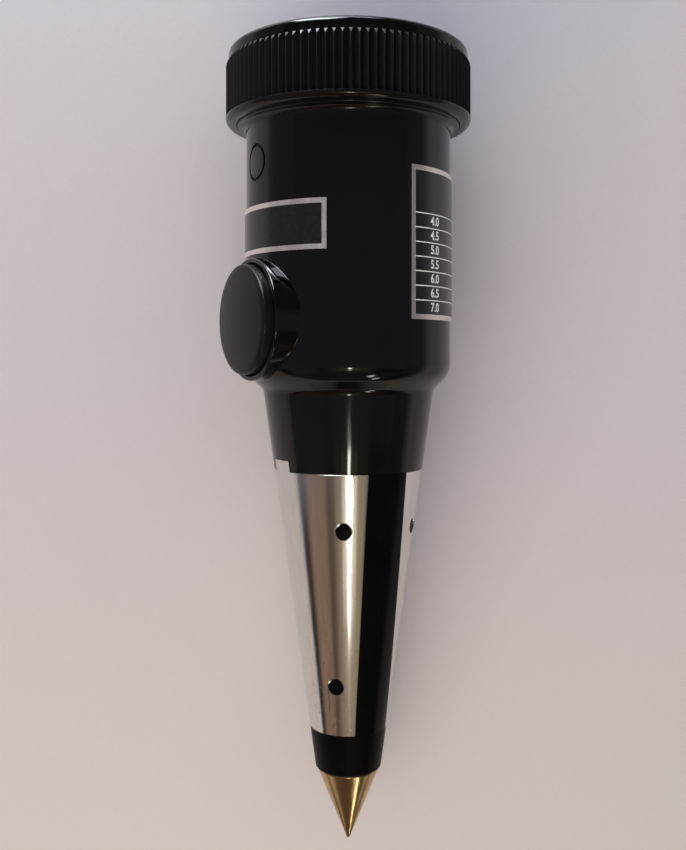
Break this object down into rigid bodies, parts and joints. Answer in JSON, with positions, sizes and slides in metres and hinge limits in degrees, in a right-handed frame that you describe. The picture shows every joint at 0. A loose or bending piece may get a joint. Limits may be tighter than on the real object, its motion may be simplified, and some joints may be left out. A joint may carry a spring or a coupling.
{
  "type": "soil ph meter",
  "caption": "Handheld soil pH tester: dial under a knurled screw ring, side push button on a round barrel, and a tapered probe with flush electrode plates and a brass point.",
  "frame": {"origin": "the point of the brass tip", "axes": "+Z along the probe from the point to the dial, -Y through the push button"},
  "size_m": [0.05, 0.05, 0.1607],
  "materials": {
    "black_moulding": "polished moulding",
    "button_plastic": "fine matt texture",
    "seal_rubber": "matt",
    "window_glass": "clear",
    "electrode_metal": "brushed lengthways",
    "brass": "turned",
    "tinned_brass": "tinned",
    "steel": "plated",
    "label_aluminium": "black print on foil with a bare edge",
    "dial_paint": "satin",
    "needle_paint": "satin",
    "frame_aluminium": "plain sheet",
    "copper_winding": "enamelled copper wire",
    "spring_bronze": "polished strip",
    "magnet_iron": "nickel plated",
    "spacer_plastic": "natural nylon",
    "board_laminate": "phenolic paper",
    "resistor_body": "lacquered",
    "red_insulation": "PVC",
    "black_insulation": "PVC"
  },
  "bodies": {
    "housing": {"housing": "black_moulding", "front_electrode": "electrode_metal", "rear_electrode": "electrode_metal", "probe_tip": "brass", "tip_insert": "brass", "contact_posts": "brass", "upper_bridge": "brass", "lower_bridge": "brass", "jewel_screws": "brass", "zero_lever": "brass", "spring_stud": "brass", "yoke_spacers": "brass", "terminal_pins": "brass", "dial_screws": "brass", "contact_lugs": "tinned_brass", "frame_screws": "steel", "movement_screws": "steel", "bridge_screws": "steel", "name_plate": "label_aluminium", "table_plate": "label_aluminium", "dial_plate": "dial_paint", "movement_frame": "frame_aluminium", "core_magnet": "magnet_iron", "yoke_ring": "magnet_iron", "core_spacers": "spacer_plastic", "terminal_board": "board_laminate", "series_resistor": "resistor_body", "tip_wire": "red_insulation", "switch_wire": "red_insulation", "plate_wire": "black_insulation", "plate_jumper": "black_insulation"},
    "button": {"button_cap": "button_plastic", "button_clip": "steel", "contact_bridge": "tinned_brass", "button_spring": "steel"},
    "needle": {"pointer": "needle_paint", "balance_weights": "brass", "coil_former": "frame_aluminium", "coil_winding": "copper_winding", "pivot_staffs": "steel", "upper_hairspring": "spring_bronze", "lower_hairspring": "spring_bronze"},
    "window": {"lens": "window_glass", "lens_gasket": "seal_rubber"},
    "ring": {"bezel_ring": "black_moulding"}
  },
  "joints": [
    {"name": "button_press", "type": "slide", "parent": "housing", "child": "button", "axis": [0, 1, 0], "range_m": [0, 0.002], "stiffness_N_per_m": 800, "springref_m": -0.002, "deforming": ["button_spring"]},
    {"name": "needle_swing", "type": "hinge", "parent": "housing", "child": "needle", "pos_m": [0, -0.006, 0.1515], "axis": [0, 0, -1], "range_deg": [0, 90], "stiffness_Nm_per_rad": 0.00002, "deforming": ["upper_hairspring", "lower_hairspring"]},
    {"name": "window_lift", "type": "slide", "parent": "housing", "child": "window", "axis": [0, 0, 1], "range_m": [0, 0.006]},
    {"name": "ring_turn", "type": "hinge", "parent": "window", "child": "ring", "pos_m": [0, 0, 0.15], "axis": [0, 0, 1], "range_deg": [0, 1080]}
  ],
  "couplings": [
    {"joint": "window_lift", "follows": "ring_turn", "m_per_rad": 0.000318}
  ]
}
